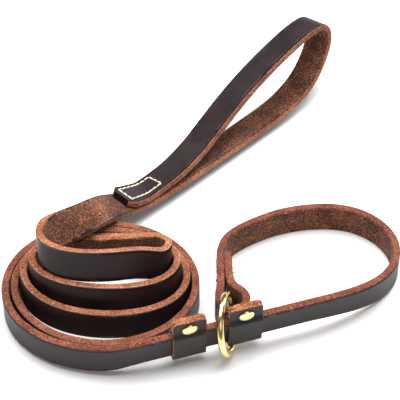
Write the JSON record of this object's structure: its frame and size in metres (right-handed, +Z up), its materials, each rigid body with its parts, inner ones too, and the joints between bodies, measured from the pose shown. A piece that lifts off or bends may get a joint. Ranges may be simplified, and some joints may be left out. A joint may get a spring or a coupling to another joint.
{
  "type": "training leash",
  "caption": "Flat leather slip lead coiled on a table, with a stitched hand loop, a brass ring in a stitched eye and sliding riveted stops.",
  "frame": {"origin": "on the table under the middle of the whole lead's bounding box", "axes": "+Z up, +X to the right along the neck loop, -Y towards the side with the ring and stops"},
  "size_m": [0.1886, 0.2059, 0.0457],
  "materials": {
    "strap_leather": "smooth dark brown grain outside, rough orange-brown suede inside, raw cut edges",
    "keeper_leather": "near-black smooth grain with raw orange-brown cut edges",
    "thread": "waxed cream thread",
    "brass": "polished pale brass"
  },
  "bodies": {
    "root": {"strap_neck_loop": "strap_leather", "strap_run": "strap_leather", "strap_coil": "strap_leather", "strap_hand_loop": "strap_leather", "hand_stitching": "thread"},
    "slip_end": {"strap_eye": "strap_leather", "eye_stitching": "thread"},
    "slip_ring": {"ring": "brass"},
    "stop_1": {"stop_1_keeper": "keeper_leather", "stop_1_rivet": "brass"},
    "stop_2": {"stop_2_keeper": "keeper_leather", "stop_2_rivet": "brass"}
  },
  "joints": [
    {"name": "slip_slide", "type": "slide", "parent": "root", "child": "slip_end", "axis": [-0.956, -0.2932, 0], "range_m": [0, 0.003]},
    {"name": "ring_swing", "type": "hinge", "parent": "slip_end", "child": "slip_ring", "pos_m": [0.0136, -0.0708, 0.0153], "axis": [0, 0, 1], "range_deg": [-2.5, 0]},
    {"name": "stop_1_slide", "type": "slide", "parent": "root", "child": "stop_1", "axis": [-0.956, -0.2932, 0], "range_m": [0, 0.006]},
    {"name": "stop_2_slide", "type": "slide", "parent": "root", "child": "stop_2", "axis": [0.956, 0.2932, 0], "range_m": [0, 0.015]}
  ]
}
